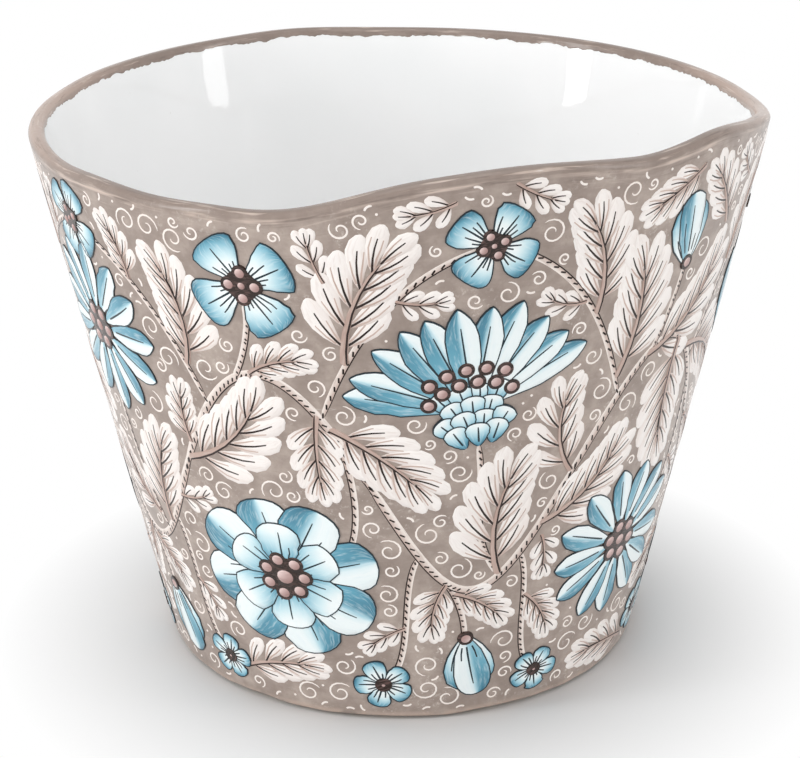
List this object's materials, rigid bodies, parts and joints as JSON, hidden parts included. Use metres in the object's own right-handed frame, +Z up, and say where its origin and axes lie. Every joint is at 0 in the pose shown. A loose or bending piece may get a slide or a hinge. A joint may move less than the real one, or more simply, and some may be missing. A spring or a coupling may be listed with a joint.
{
  "type": "flower pot",
  "caption": "Round tapered ceramic flower pot with a wavy raised lip, coloured slip outside, glossy white glaze inside, a drain stopper and felt pads.",
  "frame": {"origin": "on the pot's axis, on the surface that the felt pads stand on", "axes": "+Z up along the pot's axis; -Y is the side that faces the camera in the picture, where the lip rises"},
  "size_m": [0.2193, 0.2211, 0.1788],
  "materials": {
    "clay": "bare fired earthenware",
    "slip": "satin painted slip",
    "white_glaze": "glossy white glaze",
    "rubber": "moulded rubber",
    "felt": "pressed felt"
  },
  "bodies": {
    "pot": {"clay_body": "clay", "slip_coat": "slip", "glaze_lining": "white_glaze", "felt_pad_1": "felt", "felt_pad_2": "felt", "felt_pad_3": "felt", "felt_pad_4": "felt"},
    "stopper": {"drain_stopper": "rubber"}
  },
  "joints": [
    {"name": "stopper_pull", "type": "slide", "parent": "pot", "child": "stopper", "axis": [0, 0, 1], "range_m": [0, 0.19]}
  ]
}
